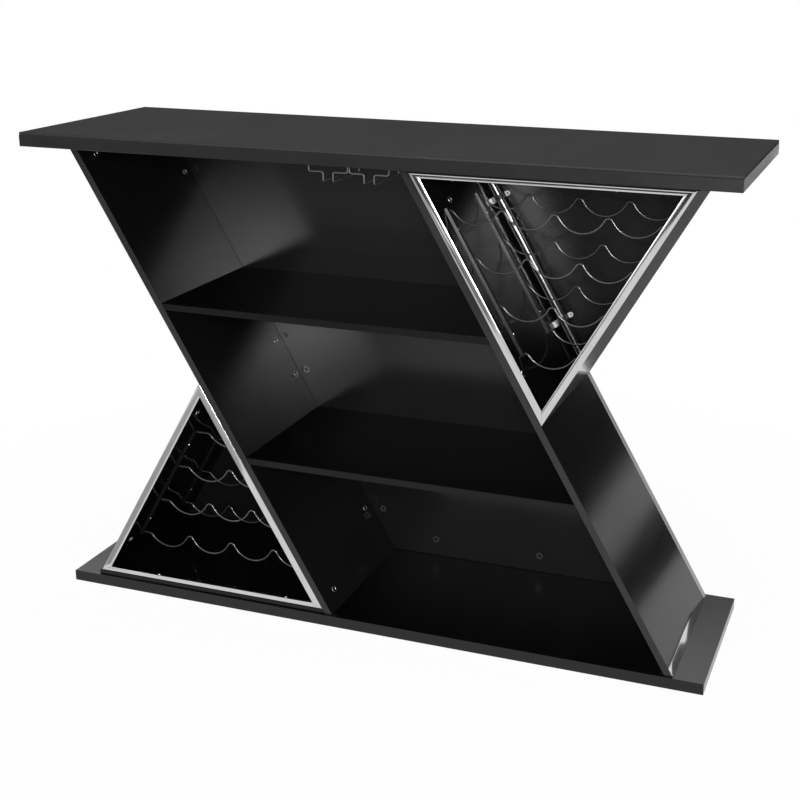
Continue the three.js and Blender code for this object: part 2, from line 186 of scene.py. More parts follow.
class Finish:
    """A material with a Principled shader, its Object coordinates and short ways to wire them."""

    def __init__(self, name):
        self.material = bpy.data.materials.new(name)
        self.material.use_nodes = True
        self.nodes = self.material.node_tree.nodes
        self.links = self.material.node_tree.links
        self.shader = self.nodes["Principled BSDF"]
        self.coordinates = self.nodes.new("ShaderNodeTexCoord").outputs["Object"]

    def set(self, **values):
        """Sets shader inputs to plain values, with _ for each space in a name."""
        for label, value in values.items():
            self.shader.inputs[label.replace("_", " ")].default_value = value

    def group(self, tree, **values):
        """The outputs of a node group that gets the Object coordinates."""
        node = self.nodes.new("ShaderNodeGroup")
        node.node_tree = tree
        self.links.new(self.coordinates, node.inputs["Vector"])
        for label, value in values.items():
            node.inputs[label.replace("_", " ")].default_value = value
        return node.outputs

    def math(self, operation, first, second):
        """One Math node in this material."""
        return math_node(self.nodes, self.links, operation, first, second)

    def along(self, direction):
        """Distance from the frame's origin along a direction, in metres."""
        node = self.nodes.new("ShaderNodeVectorMath")
        node.operation = "DOT_PRODUCT"
        node.inputs[1].default_value = tuple(direction)
        self.links.new(self.coordinates, node.inputs[0])
        return node.outputs["Value"]

    def ramp(self, value, start, end, low=0.0, high=1.0):
        """Runs from low to high while the value runs from start to end."""
        node = self.nodes.new("ShaderNodeMapRange")
        node.inputs["From Min"].default_value = start
        node.inputs["From Max"].default_value = end
        node.inputs["To Min"].default_value = low
        node.inputs["To Max"].default_value = high
        self.links.new(value, node.inputs["Value"])
        return node.outputs["Result"]

    def spread(self, value, low=0.0, high=1.0):
        """Spreads noise, which mostly lies between 0.3 and 0.7, from low to high."""
        return self.ramp(value, 0.3, 0.7, low, high)

    def blend(self, share, first, second):
        """A mix of two colours, each a socket or three numbers."""
        node = self.nodes.new("ShaderNodeMix")
        node.data_type = "RGBA"
        self.links.new(share, node.inputs["Factor"])
        for index, colour in ((6, first), (7, second)):
            if isinstance(colour, tuple):
                node.inputs[index].default_value = (*colour, 1.0)
            else:
                self.links.new(colour, node.inputs[index])
        return node.outputs[2]

    def mix_value(self, share, first, second):
        """A mix of two values, each a socket or a number."""
        node = self.nodes.new("ShaderNodeMix")
        self.links.new(share, node.inputs["Factor"])
        for index, value in ((2, first), (3, second)):
            if isinstance(value, (int, float)):
                node.inputs[index].default_value = value
            else:
                self.links.new(value, node.inputs[index])
        return node.outputs[0]

    def feed(self, value, label):
        """Links a value to a shader input."""
        self.links.new(value, self.shader.inputs[label])

    def bump(self, height, strength, distance):
        """Fine relief from a height."""
        node = self.nodes.new("ShaderNodeBump")
        node.inputs["Strength"].default_value = strength
        node.inputs["Distance"].default_value = distance
        self.links.new(height, node.inputs["Height"])
        self.feed(node.outputs["Normal"], "Normal")


PEBBLES_PER_METRE = 420.0
GRAIN_RELIEF = 0.1
GRAIN_DEPTH = 0.0004
DUST_SHARE = 0.35


def grey(shade):
    """A colour with the same value in all three channels."""
    return (shade,) * 3


def board_finish(name, shades, roughness, pebbles, relief, specular):
    """Black laminate: grain shades the colour, wiping spreads the gloss, dust lightens it a little.

    shades and roughness are each a low and a high value.
    """
    look = Finish(name)
    grain = look.group(board_grain, Pebbles_per_metre=pebbles)
    marks = look.group(handling_marks)
    dark, light = shades
    tone = look.blend(look.spread(grain["Shade"]), grey(dark), grey(light))
    dusty = grey(light * 1.5 + 0.006)
    faint = look.math("MULTIPLY", marks["Dust"], DUST_SHARE)
    look.feed(look.blend(faint, tone, dusty), "Base Color")
    look.feed(look.spread(marks["Wipe"], *roughness), "Roughness")
    look.set(Specular_IOR_Level=specular)
    look.bump(grain["Height"], relief, GRAIN_DEPTH)
    return look.material


def two_sided_finish(name, gloss_side, middle):
    """A panel that is polished on its bay side and satin on its shelf side.

    The side is told by the distance along the direction square to the panel: past the middle
    plane the finish changes over within a tenth of a millimetre. The front edge face is painted
    a little paler, a painted highlight.
    """
    look = Finish(name)
    grain = look.group(board_grain, Pebbles_per_metre=PEBBLES_PER_METRE)
    marks = look.group(handling_marks)
    change = gloss_side * middle * MM
    polished = look.ramp(look.along(RISING_RIGHT * gloss_side), change - 0.1 * MM, change)
    dark, light, pale = (0.003, 0.003, 0.0031), (0.0048, 0.0048, 0.005), (0.017, 0.017, 0.0175)
    tone = look.blend(look.spread(grain["Shade"]), dark, light)
    # The front edge face gets the pale colour: a painted highlight.
    painted_front_highlight = look.ramp(look.along(TO_BACK), (FRONT + 0.8) * MM, (FRONT + 0.5) * MM)
    look.feed(look.blend(painted_front_highlight, tone, pale), "Base Color")
    satin = look.spread(marks["Wipe"], 0.14, 0.18)
    gloss = look.spread(marks["Wipe"], 0.09, 0.13)
    look.feed(look.mix_value(polished, satin, gloss), "Roughness")
    relief = look.mix_value(polished, 1.0, 0.02)
    look.set(Specular_IOR_Level=0.23)
    look.bump(look.math("MULTIPLY", grain["Height"], relief), GRAIN_RELIEF, GRAIN_DEPTH)
    return look.material


def back_painted_ends_finish(name):
    """The centre's back panel: satin laminate whose two leaning ends are painted pale grey, a
    painted highlight.

    The distance from the panel's middle line, square to the lean, tells an end from a face.
    """
    look = Finish(name)
    grain = look.group(board_grain, Pebbles_per_metre=PEBBLES_PER_METRE)
    marks = look.group(handling_marks)
    middle = TURN_LEVEL / 2.0 * SIN_LEAN * MM
    reach = SIDE_PLANE * MM - middle
    distance = look.math("ABSOLUTE", look.math("SUBTRACT", look.along(RISING_RIGHT), middle), 0.0)
    end = look.math("GREATER_THAN", distance, reach - 0.5 * MM)
    tone = look.blend(look.spread(grain["Shade"]), grey(0.0042), grey(0.0058))
    # The leaning ends get pale grey: a painted highlight.
    look.feed(look.blend(end, tone, grey(0.32)), "Base Color")
    look.feed(look.spread(marks["Wipe"], 0.15, 0.19), "Roughness")
    look.set(Specular_IOR_Level=0.36)
    look.bump(grain["Height"], GRAIN_RELIEF, GRAIN_DEPTH)
    return look.material


def clip_finish(name):
    """A light clip: pale ear and block, and a dark clear ring where it goes round the tube.

    The ear is more than 10 mm further out of the side panel than the tube's axis, and the block
    more than 18 mm in front of it.
    """
    look = Finish(name)
    marks = look.group(handling_marks, Marks_per_metre=30.0)
    ear_start = (SIDE_PLANE + TUBE_STANDOFF + 10.0) * MM
    block_end = (BACK_FACE - TUBE_STANDOFF - 18.0) * MM
    ear = look.math("GREATER_THAN", look.along(RISING_RIGHT), ear_start)
    block = look.math("LESS_THAN", look.along(TO_BACK), block_end)
    tone = look.blend(look.spread(marks["Wipe"]), grey(0.5), grey(0.62))
    look.feed(look.blend(look.math("MAXIMUM", ear, block), grey(0.03), tone), "Base Color")
    look.feed(look.spread(marks["Wipe"], 0.14, 0.24), "Roughness")
    return look.material


def metal_finish(name, dark, light, roughness):
    """Plated metal: wipe marks spread both the brightness and the gloss."""
    look = Finish(name)
    marks = look.group(handling_marks, Marks_per_metre=14.0)
    look.feed(look.blend(look.spread(marks["Wipe"]), dark, light), "Base Color")
    look.feed(look.spread(marks["Wipe"], *roughness), "Roughness")
    look.set(Metallic=1.0)
    return look.material


def painted_wire_finish(name, dark, light, roughness):
    """Dipped paint on wire: a slow cloud in its gloss and a slight orange peel."""
    look = Finish(name)
    grain = look.group(board_grain, Pebbles_per_metre=700.0)
    marks = look.group(handling_marks, Marks_per_metre=30.0)
    look.feed(look.blend(look.spread(grain["Shade"]), dark, light), "Base Color")
    look.feed(look.spread(marks["Wipe"], *roughness), "Roughness")
    look.set(Coat_Weight=1.0, Coat_Roughness=0.16)
    look.bump(grain["Height"], 0.08, 0.0002)
    return look.material


def clear_finish(name):
    """Clear cast tube: light passes, with a little haze from handling."""
    look = Finish(name)
    marks = look.group(handling_marks, Marks_per_metre=20.0)
    look.feed(look.spread(marks["Wipe"], 0.02, 0.07), "Roughness")
    look.set(Base_Color=(0.95, 0.97, 0.98, 1.0), Transmission_Weight=1.0, IOR=1.45)
    return look.material


TUBE_STANDOFF = 14.4
RIGHT_MIDDLE = SIDE_PLANE - PANEL / 2
LEFT_MIDDLE = TURN_LEVEL * SIN_LEAN - RIGHT_MIDDLE

# After its name, each board has its shades, roughness, pebbles per metre, relief and specular
# level.
satin_board = board_finish("satin_board", (0.0014, 0.0024), (0.17, 0.21), 420.0, 0.1, 0.21)
gloss_board = board_finish("gloss_board", (0.0015, 0.0025), (0.07, 0.1), 420.0, 0.012, 0.22)
bay_back = board_finish("bay_back", (0.004, 0.006), (0.2, 0.24), 420.0, 0.06, 0.18)
base_sheet = board_finish("base_sheet", (0.0005, 0.001), (0.2, 0.26), 500.0, 0.1, 0.95)
base_edge = board_finish("base_edge", (0.002, 0.004), (0.2, 0.26), 500.0, 0.1, 0.32)
edge_board = board_finish("edge_board", (0.005, 0.008), (0.26, 0.34), 500.0, 0.14, 0.32)
top_sheet = board_finish("top_sheet", (0.026, 0.033), (0.66, 0.72), 520.0, 0.12, 0.05)
strip_paint = board_finish("strip_paint", (0.003, 0.005), (0.3, 0.4), 700.0, 0.08, 0.2)
# The next finish is a lighter, glossier copy of the strip paint: a painted highlight on strip
# edges.
painted_strip_highlight = board_finish("painted_strip_highlight", (0.008, 0.012), (0.2, 0.28), 700.0, 0.08, 0.6)
# The back panel's finish carries a painted highlight on its leaning ends.
back_painted_ends = back_painted_ends_finish("back_painted_ends")
right_panel = two_sided_finish("right_panel", 1.0, RIGHT_MIDDLE)
left_panel = two_sided_finish("left_panel", -1.0, LEFT_MIDDLE)
polished_chrome = metal_finish(
    "polished_chrome", (0.54, 0.545, 0.55), (0.62, 0.623, 0.628), (0.05, 0.1),
)
zinc = metal_finish("zinc", (0.34, 0.34, 0.345), (0.46, 0.46, 0.465), (0.28, 0.42))
# Dark metal for recesses: painted shade.
painted_recess_shade = metal_finish("painted_recess_shade", grey(0.04), grey(0.065), (0.35, 0.5))
lamp_strip = metal_finish("lamp_strip", grey(0.8), grey(0.9), (0.12, 0.2))
black_wire = painted_wire_finish("black_wire", grey(0.016), grey(0.024), (0.22, 0.3))
grey_wire = painted_wire_finish(
    "grey_wire", (0.05, 0.05, 0.051), (0.075, 0.075, 0.076), (0.24, 0.34),
)
clear_tube = clear_finish("clear_tube")
clip_plastic = clip_finish("clip_plastic")


def dress(material, *names):
    """Gives carried-over CAD nodes a finish."""
    for name in names:
        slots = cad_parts[name].data.materials
        slots.clear()
        slots.append(material)


def dress_edges(material, *names):
    """Gives the front and back edges of dressed CAD nodes a second finish."""
    for name in names:
        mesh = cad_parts[name].data
        mesh.materials.append(material)
        for face in mesh.polygons:
            if abs(face.normal.y) > 0.7:
                face.material_index = 1


dress(top_sheet, "top_plate")
dress(edge_board, "top_board")
dress(base_sheet, "base_board")
dress(right_panel, "right_side_panel")
dress(left_panel, "left_side_panel")
dress(satin_board, "lower_shelf", "upper_shelf")
dress(back_painted_ends, "centre_back_panel")
for bay in ("upper", "lower"):
    dress(gloss_board, bay + "_wing_panel", bay + "_bay_board")
    dress(bay_back, bay + "_back_panel")
    for rack in (bay + "_front_rack", bay + "_rear_rack"):
        dress(strip_paint, rack + "_left_strip", rack + "_right_strip")
dress(clip_plastic, "light_clip_upper", "light_clip_lower")
dress_edges(base_edge, "base_board")
# Front and back faces of the upper bay's left strips get the lighter finish: a painted highlight.
dress_edges(painted_strip_highlight, "upper_front_rack_left_strip", "upper_rear_rack_left_strip")


# Meshes from grids

def put_grid(name, grid, materials, band_finish=None, crease=35.0):
    """A closed piece from rings of points: grid[ring, step] joins to its neighbours each way.

    The steps of a ring close on themselves. The first and last rings are single points, or the
    same ring for a hollow piece. band_finish gives the finish number of the faces between one
    ring and the next, and edges sharper than the crease in degrees stay sharp.
    """
    rings, steps = grid.shape[:2]
    ring, step = np.meshgrid(np.arange(rings - 1) * steps, np.arange(steps), indexing="ij")
    after = (step + 1) % steps
    corners = [ring + step, ring + after, ring + steps + after, ring + steps + step]
    faces = np.stack(corners, axis=-1).reshape(-1, 4)
    mesh = bpy.data.meshes.new(name)
    mesh.from_pydata((grid.reshape(-1, 3) * MM).tolist(), [], faces.tolist())
    for material in materials:
        mesh.materials.append(material)
    if band_finish is not None:
        finish_numbers = np.repeat(np.asarray(band_finish, dtype=np.int32), steps)
        mesh.polygons.foreach_set("material_index", finish_numbers)
    shell = bmesh.new()
    shell.from_mesh(mesh)
    bmesh.ops.remove_doubles(shell, verts=shell.verts, dist=1e-7)
    bmesh.ops.recalc_face_normals(shell, faces=shell.faces)
    for face in shell.faces:
        face.smooth = True
    for edge in shell.edges:
        edge.smooth = edge.calc_face_angle(0.0) < math.radians(crease)
    shell.to_mesh(mesh)
    shell.free()
    piece = bpy.data.objects.new(name, mesh)
    bpy.context.scene.collection.objects.link(piece)
    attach(piece, "root")
    return piece


def unit(vectors):
    """Vectors at length one."""
    return vectors / np.linalg.norm(vectors, axis=-1, keepdims=True)


def round_bar(path, radius, steps, aside):
    """Rings of a round bar along a path, with a narrow bevel at both ends.

    At each point of the path the ring is centre + radius * (cos a * side + sin a * other), where
    side is the fixed direction aside with its part along the path taken away, and other is square
    to both. Three more rings at each end shrink from the radius to a point.
    """
    path = np.asarray(path, dtype=float)
    along = unit(np.gradient(path, axis=0))
    lip = 0.3 * radius
    centres = np.vstack([
        path[0], path[0], path[0] + along[0] * lip, path[1:-1],
        path[-1] - along[-1] * lip, path[-1], path[-1],
    ])
    ways = np.vstack([along[0], along[0], along[0], along[1:-1], along[-1], along[-1], along[-1]])
    sizes = np.full(len(centres), radius)
    sizes[[0, -1]] = 0.0
    sizes[[1, -2]] = radius - lip
    aside = np.asarray(aside, dtype=float)
    side = unit(aside - (ways @ aside)[:, None] * ways)
    other = np.cross(ways, side)
    angle = np.linspace(0.0, 2.0 * np.pi, steps, endpoint=False)[None, :, None]
    reach = np.cos(angle) * side[:, None, :] + np.sin(angle) * other[:, None, :]
    return centres[:, None, :] + sizes[:, None, None] * reach


def turned(profile, steps, seat, outward, star=None):
    """Rings of a turned piece: profile rows are (radius, height) about the outward direction.

    star is (number, depth, rings): the radius of those rings is multiplied by
    1 - depth + depth * cos(number * angle), which draws a cross in a recess.
    """
    outward = unit(np.asarray(outward, dtype=float))
    helper = np.array([0.0, 1.0, 0.0]) if abs(outward[1]) < 0.9 else np.array([1.0, 0.0, 0.0])
    across = unit(np.cross(helper, outward))
    beside = np.cross(outward, across)
    profile = np.asarray(profile, dtype=float)
    angle = np.linspace(0.0, 2.0 * np.pi, steps, endpoint=False)
    radius = np.repeat(profile[:, :1], steps, axis=1)
    if star is not None:
        number, depth, rings = star
        radius[rings] *= 1.0 - depth + depth * np.cos(number * angle)
    circle = np.cos(angle)[:, None] * across + np.sin(angle)[:, None] * beside
    return np.asarray(seat) + radius[..., None] * circle + profile[:, 1][:, None, None] * outward


# Chromed frames and foot strip

FRAME_WIDTH = 16.0
FRAME_DEPTH = 12.0
RAIL_HEIGHT = 11.0
FRAME_LEVEL = UNDER_TOP - BAY_BOARD - 2.0 * FIT_GAP
BAR_CROWN = 1.3
CROWN_POINTS = 25
FOOT_HEIGHT = 20.0
FOOT_TIP_HEIGHT = 3.0
FOOT_TAPER = 120.0
FOOT_LIFT = 0.35
FOOT_STAND = 1.4
FOOT_LEAN_IN = 0.075
FOOT_LEAN_OUT = 0.02
FOOT_STATIONS = 90


def meet(first, second):
    """The (x, z) point that lies on two lines, each a row nx, nz, d with nx * x + nz * z = d."""
    lines = np.array([first, second])
    return np.linalg.solve(lines[:, :2], lines[:, 2])


def frame_bar(corners):
    """Rings of a frame bar with mitred ends: outer start, outer end, inner end, inner start.

    Across the bar the share w runs from 0 at the outer edge to 1 at the inner edge, and the front
    falls back by crown * |2 w - 1|^4, which rounds both edges. Each end is a ring on its mitre
    line and closes in a point.
    """
    outer_start, outer_end, inner_end, inner_start = corners
    w = np.concatenate([np.linspace(0.0, 1.0, CROWN_POINTS), [1.0, 0.0]])
    y = FRONT + BAR_CROWN * np.abs(2.0 * w - 1.0) ** 4
    y[CROWN_POINTS:] = FRONT + FRAME_DEPTH
    ends = []
    for outer, inner in ((outer_start, inner_start), (outer_end, inner_end)):
        line = (1.0 - w)[:, None] * outer + w[:, None] * inner
        ends.append(np.column_stack([line[:, 0], y, line[:, 1]]))
    caps = [np.broadcast_to(end.mean(axis=0), end.shape) for end in ends]
    return np.stack([caps[0], ends[0], ends[1], caps[1]])


frame_outer = [
    (COS_LEAN, SIN_LEAN, SIDE_PLANE + FIT_GAP),
    (COS_LEAN, -SIN_LEAN, WING_PLANE),
    (0.0, 1.0, FRAME_LEVEL),
]
frame_inner = [
    (COS_LEAN, SIN_LEAN, SIDE_PLANE + FRAME_WIDTH),
    (COS_LEAN, -SIN_LEAN, WING_PLANE - FRAME_WIDTH),
    (0.0, 1.0, FRAME_LEVEL - RAIL_HEIGHT),
]
for number, label in enumerate(("side_bar", "wing_bar", "rail")):
    before, after = (number + 2) % 3, (number + 1) % 3
    bar_corners = np.array([
        meet(frame_outer[number], frame_outer[before]),
        meet(frame_outer[number], frame_outer[after]),
        meet(frame_inner[number], frame_inner[after]),
        meet(frame_inner[number], frame_inner[before]),
    ])
    step_in = unit(bar_corners[1] - bar_corners[0]) * FIT_GAP
    bar_grid = frame_bar(bar_corners + np.array([1.0, -1.0, -1.0, 1.0])[:, None] * step_in)
    for bay, grid in (("upper", bar_grid), ("lower", half_turn(bar_grid))):
        node = "%s_frame_%s" % (bay, label)
        bar = put_grid(node + "_crowned", grid, [polished_chrome], crease=60.0)
        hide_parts(node)


def foot_plate():
    """Rings of the thin chromed strip at the foot of the right panel, one at each station along y.

    Its height is even and falls to the tip's over the taper at the back. The thin plate is
    twisted: its top edge leans in by two bell curves along y, one near the middle and one at the
    front end, and leans out behind the middle, by a smooth step.
    """
    y = np.linspace(FRONT + 0.8, BACK_FACE - FIT_GAP, FOOT_STATIONS)
    taper = [FOOT_HEIGHT, FOOT_HEIGHT, FOOT_TIP_HEIGHT]
    height = np.interp(y, [y[0], y[-1] - FOOT_TAPER, y[-1]], taper)
    share = np.concatenate([[0.0], np.linspace(0.0, 1.0, 7), [1.0]])
    rise = FOOT_LIFT + share[None, :] * (height[:, None] - FOOT_LIFT)
    middle_bell = np.exp(-(((y + 40.0) / 36.0) ** 2))
    front_bell = np.exp(-(((y + 194.0) / 14.0) ** 2))
    rear_step = 1.0 + np.tanh((y - 30.0) / 20.0)
    twist = FOOT_LEAN_IN * (middle_bell + front_bell) - FOOT_LEAN_OUT * rear_step
    out = FOOT_STAND + twist[:, None] * (FOOT_HEIGHT / 2.0 - rise)
    out[:, [0, -1]] = FIT_GAP
    foot = np.array([FOOT_REACH, 0.0, BASE_TOP])
    rings = foot + out[..., None] * RISING_RIGHT - rise[..., None] * DOWN_PANEL
    rings[..., 1] = y[:, None]
    first, last = (np.broadcast_to(ring.mean(axis=0), ring.shape) for ring in rings[[0, -1]])
    return np.concatenate([first[None], rings, last[None]])


foot_strip = put_grid("foot_strip_bowed", foot_plate(), [polished_chrome])
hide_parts("foot_strip")


# Bottle racks

WIRE_RADIUS = 2.0
WAVE_PITCH = 110.0
WAVE_HEIGHT = 34.0
WAVE_END_RISE = 27.0
CREST_RADIUS = 9.0
WIRE_LEAD = 1.5
WAVE_RUN_OUT = 9.0
STRIP_FACE = 3.3
STRIP_STAND = STRIP_FACE + FIT_GAP
RACK_DEPTHS = {"front": FRONT + 91.0, "rear": FRONT + 280.0}
RACK_ROWS = 4
UPPER_FIRST_DROP = 126.0
UPPER_ROW_PITCH = 95.3
LOWER_FIRST_RISE = 53.0
LOWER_ROW_PITCH = 91.5
POINTS_PER_WAVE = 36
RUN_IN_POINTS = 8
RUN_OUT_POINTS = 4


def wave_rise(distance, half_pitch, crest):
    """Height of a wire over its trough at a distance from it, up to half the pitch.

    A wide arc holds the bottle and a tight arc turns over the crest. With h the crest's height
    and p the half pitch, both have the slope 2 atan(h / p) where they meet, and the wide radius is
    p / sin(slope) less the crest's radius.
    """
    slope = 2.0 * np.arctan(crest / half_pitch)
    wide = half_pitch / np.sin(slope) - CREST_RADIUS
    hollow = wide - np.sqrt(np.maximum(wide ** 2 - distance ** 2, 0.0))
    over = np.sqrt(np.maximum(CREST_RADIUS ** 2 - (half_pitch - distance) ** 2, 0.0))
    return np.where(distance < wide * np.sin(slope), hollow, crest - CREST_RADIUS + over)


def wave_line(left_end, right_end, trough):
    """The line of one rack wire, as (x, z) rows: whole waves, and what they leave is straight.

    The first and last crests are lower than the others.
    """
    width = right_end - left_end
    waves = max(1, round(width / WAVE_PITCH))
    pitch = min(WAVE_PITCH, (width - 2.0 * WIRE_LEAD) / waves)
    spare = width - waves * pitch
    first = right_end - min(WAVE_RUN_OUT, spare / 2.0) - waves * pitch
    share = np.arange(waves * POINTS_PER_WAVE + 1) / POINTS_PER_WAVE
    nearest = np.rint(share)
    crest = np.where((nearest == 0) | (nearest == waves), WAVE_END_RISE, WAVE_HEIGHT)
    distance = (0.5 - np.abs(share - nearest)) * pitch
    rise = wave_rise(distance, pitch / 2.0, crest)
    last = first + waves * pitch
    run_in = np.linspace(left_end, first, RUN_IN_POINTS, endpoint=False)
    run_out = np.linspace(right_end, last, RUN_OUT_POINTS, endpoint=False)[::-1]
    x = np.concatenate([run_in, first + share * pitch, run_out])
    z = np.pad(rise, (RUN_IN_POINTS, RUN_OUT_POINTS), constant_values=WAVE_END_RISE)
    return np.column_stack([x, trough + z])


def rack_wires(bay, troughs, ends):
    """Both depths of a bay's racks: one wire for each trough, between the strips' faces."""
    for depth, y in RACK_DEPTHS.items():
        for row, trough in enumerate(troughs):
            left_end, right_end = ends(trough + WAVE_END_RISE)
            line = wave_line(left_end, right_end, trough)
            path = np.column_stack([line[:, 0], np.full(len(line), y), line[:, 1]])
            node = "%s_%s_rack_wire_%d" % (bay, depth, row + 1)
            grid = round_bar(path, WIRE_RADIUS, steps=14, aside=TO_BACK)
            wire = put_grid(node + "_round", grid, [black_wire])
            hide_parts(node)


seat_clear = STRIP_STAND / COS_LEAN + WIRE_RADIUS * TAN_LEAN
upper_troughs = [
    UNDER_TOP - UPPER_FIRST_DROP - UPPER_ROW_PITCH * row for row in range(RACK_ROWS)
]
lower_troughs = [
    BASE_TOP + LOWER_FIRST_RISE + LOWER_ROW_PITCH * row for row in range(RACK_ROWS)
]


def upper_ends(z):
    """Where a wire at height z meets the strips in the upper bay."""
    return side_face_x(z) + seat_clear, wing_face_x(z, PANEL) - seat_clear


def lower_ends(z):
    """Where a wire at height z meets the strips in the lower bay, by the half turn."""
    left, right = upper_ends(TURN_LEVEL - z)
    return -right, -left


rack_wires("upper", upper_troughs, upper_ends)
rack_wires("lower", lower_troughs, lower_ends)


# Stemware hangers

STEM_RADIUS = 1.6
STEM_BEND = 5.0
STEM_TOP = UNDER_TOP - FIT_GAP
HALF_SLOT = 11.15
STUB_REACH = 32.5
HOOK_DROP = 30.0
STEM_RAIL_DROP = 50.0
STEM_RAIL_START = 54.0
STEM_RAIL_LENGTH = 132.0
CHANNEL_PITCH = 91.6
LAST_STUB_GAP = 38.0


def bent_line(corners, bend, points_per_bend=7):
    """A line through corners with each inner corner drawn as a quadratic curve.

    A bend from a to b about the corner c is (1 - t)^2 a + 2 t (1 - t) c + t^2 b, where a and b
    lie on the legs at the bend's distance from the corner.
    """
    corners = np.asarray(corners, dtype=float)
    before = corners[1:-1] + unit(corners[:-2] - corners[1:-1]) * bend
    after = corners[1:-1] + unit(corners[2:] - corners[1:-1]) * bend
    t = np.linspace(0.0, 1.0, points_per_bend)[None, :, None]
    start, middle, end = before[:, None, :], corners[1:-1][:, None, :], after[:, None, :]
    curve = (1.0 - t) ** 2 * start + 2.0 * t * (1.0 - t) * middle + t ** 2 * end
    return np.vstack([corners[:1], curve.reshape(-1, 3), corners[-1:]])


def hanger_wire(middle, side):
    """One wire: down from the top, in to the slot, down to the rail, back along it and up again."""
    rail = middle - side * HALF_SLOT
    stub = rail - side * STUB_REACH
    top = STEM_TOP
    hook = top - HOOK_DROP
    low = top - STEM_RAIL_DROP
    near = FRONT + STEM_RAIL_START
    far = near + STEM_RAIL_LENGTH
    corners = [
        (stub, near, top), (stub, near, hook), (rail, near, hook), (rail, near, low),
        (rail, far, low), (rail, far, hook), (stub, far, hook), (stub, far, top),
    ]
    line = bent_line(corners, STEM_BEND)
    return round_bar(line, STEM_RADIUS, steps=12, aside=(1.0, 1.0, 0.0))


last_stub = side_face_x(STEM_TOP, -PANEL) - LAST_STUB_GAP
for channel in (2, 1):
    slot_middle = last_stub - STUB_REACH - HALF_SLOT - (2 - channel) * CHANNEL_PITCH
    for side, label in ((1.0, "left"), (-1.0, "right")):
        node = "stem_hanger_%d_%s_wire" % (channel, label)
        hanger = put_grid(node + "_round", hanger_wire(slot_middle, side), [grey_wire])
        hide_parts(node)


# Light tube

TUBE_RADIUS = 7.5
TUBE_END_GAP = 22.0
corner_top = UNDER_TOP - FIT_GAP - BAY_BOARD
corner_low = TURN_LEVEL / 2.0 + PANEL / (2.0 * SIN_LEAN)
corner_length = (corner_top - corner_low) / COS_LEAN
tube_length = corner_length - 2.0 * TUBE_END_GAP - TUBE_STANDOFF * TAN_LEAN
corner = np.array([side_face_x(corner_top), BACK_FACE, corner_top])
tube_start = corner + (RISING_RIGHT + TO_SERVER) * TUBE_STANDOFF + DOWN_PANEL * TUBE_END_GAP
tube_profile = [
    (5.6, 0.4), (6.0, 0.0), (7.2, 0.0), (TUBE_RADIUS, 0.4), (TUBE_RADIUS, tube_length - 0.4),
    (7.2, tube_length), (6.0, tube_length), (5.6, tube_length - 0.4), (5.6, 0.4),
]
tube_grid = turned(tube_profile, steps=40, seat=tube_start, outward=DOWN_PANEL)
tube = put_grid("light_tube_clear", tube_grid, [clear_tube])
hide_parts("light_tube")
core_profile = [
    (0.0, 1.0), (3.2, 1.0), (3.6, 1.5),
    (3.6, tube_length - 1.5), (3.2, tube_length - 1.0), (0.0, tube_length - 1.0),
]
core_grid = turned(core_profile, steps=24, seat=tube_start, outward=DOWN_PANEL)
put_grid("light_tube_core", core_grid, [lamp_strip])


# Cam fittings and screws: profile rows are (radius, height), bands pick the finish between rows

CAM_PROFILE = [
    (0.0, -0.9), (2.6, -0.9), (3.0, 0.15), (5.0, 0.3), (5.3, 0.0), (6.1, 0.0),
    (6.4, 0.55), (7.2, 0.55), (7.5, 0.05), (7.5, -0.25), (0.0, -0.25),
]
# Bands marked 1 take the dark finish: painted shade over the cam's recess, disc and the flat inside
# its rim.
CAM_BANDS = [1, 1, 1, 1, 1, 0, 0, 0, 0, 0]
SCREW_PROFILE = [
    (0.0, 0.9), (1.1, 0.9), (1.3, 1.9), (2.2, 1.7), (3.0, 1.2), (3.5, 0.5), (3.6, 0.0), (0.0, 0.0),
]
# Bands marked 1 take the dark finish: painted shade in the screw's cross recess.
SCREW_BANDS = [1, 1, 0, 0, 0, 0, 0]
LEFT_CAMS = [(-139, 1012), (150, 931), (148, 536), (156, 455), (-139, 60), (142, 137)]
BACK_CAMS = [(-310, 463), (-111, 127), (27, 67), (289, 66)]
WING_CAMS = [(-153, 445), (-154, 106)]
BAY_CAM = (-66.0, 952.0)
CAM_STAND = 0.02
SCREW_STAND = 0.05
FRAME_SCREW_DEPTH = 6.5
FRAME_SCREW_SHARES = (0.22, 0.78)
RAIL_SCREW_START = 30.0
RAIL_SCREW_RUN = 584.0
STRIP_SCREW_SHARES = (0.14, 0.85)
STRIP_END = 5.0


def cam(name, seat, outward):
    """A cam fitting let into a board: a raised rim, a disc and a cross recess."""
    seat = np.asarray(seat) + np.asarray(outward) * CAM_STAND
    grid = turned(CAM_PROFILE, 32, seat, outward, star=(4, 0.22, [1, 2]))
    put_grid(name, grid, [zinc, painted_recess_shade], CAM_BANDS)


def screw(name, seat, outward):
    """A domed screw head with a cross recess."""
    seat = np.asarray(seat) + np.asarray(outward) * SCREW_STAND
    grid = turned(SCREW_PROFILE, 24, seat, outward, star=(4, 0.3, [1, 2]))
    put_grid(name, grid, [polished_chrome, painted_recess_shade], SCREW_BANDS)


def left_inner(y, z):
    """A point on the left side panel's shelf face."""
    return np.array([-side_face_x(TURN_LEVEL - z, -PANEL), y, z])


